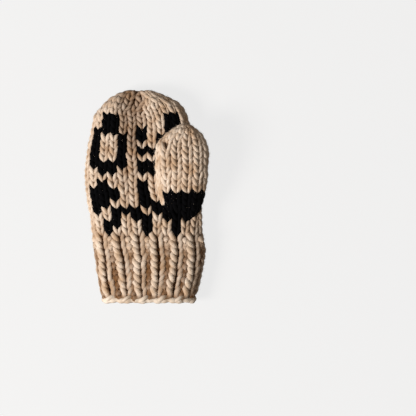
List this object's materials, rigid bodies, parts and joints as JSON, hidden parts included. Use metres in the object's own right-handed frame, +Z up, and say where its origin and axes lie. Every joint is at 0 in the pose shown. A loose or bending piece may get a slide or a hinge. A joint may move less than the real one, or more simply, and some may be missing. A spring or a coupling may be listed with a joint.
{
  "type": "hand-knitted wool mitten",
  "caption": "Chunky hand-knitted wool mitten lying flat, with a ribbed cuff, a rounded top and a thumb lying over one side; hollow and open at the wrist.",
  "frame": {"origin": "centre of the mitten's outline, on the surface it lies on", "axes": "+Z up from the surface, +Y from the cuff towards the fingertips, +X towards the thumb"},
  "size_m": [0.1376, 0.2354, 0.0517],
  "materials": {
    "natural_wool": "matte, softly spun wool",
    "black_wool": "matte, softly spun wool",
    "cast_on_wool": "matte, softly spun wool"
  },
  "bodies": {
    "root": {"hand": "natural_wool", "thumb": "natural_wool", "ribbed_cuff": "natural_wool", "cast_on_edge": "cast_on_wool"}
  },
  "joints": []
}
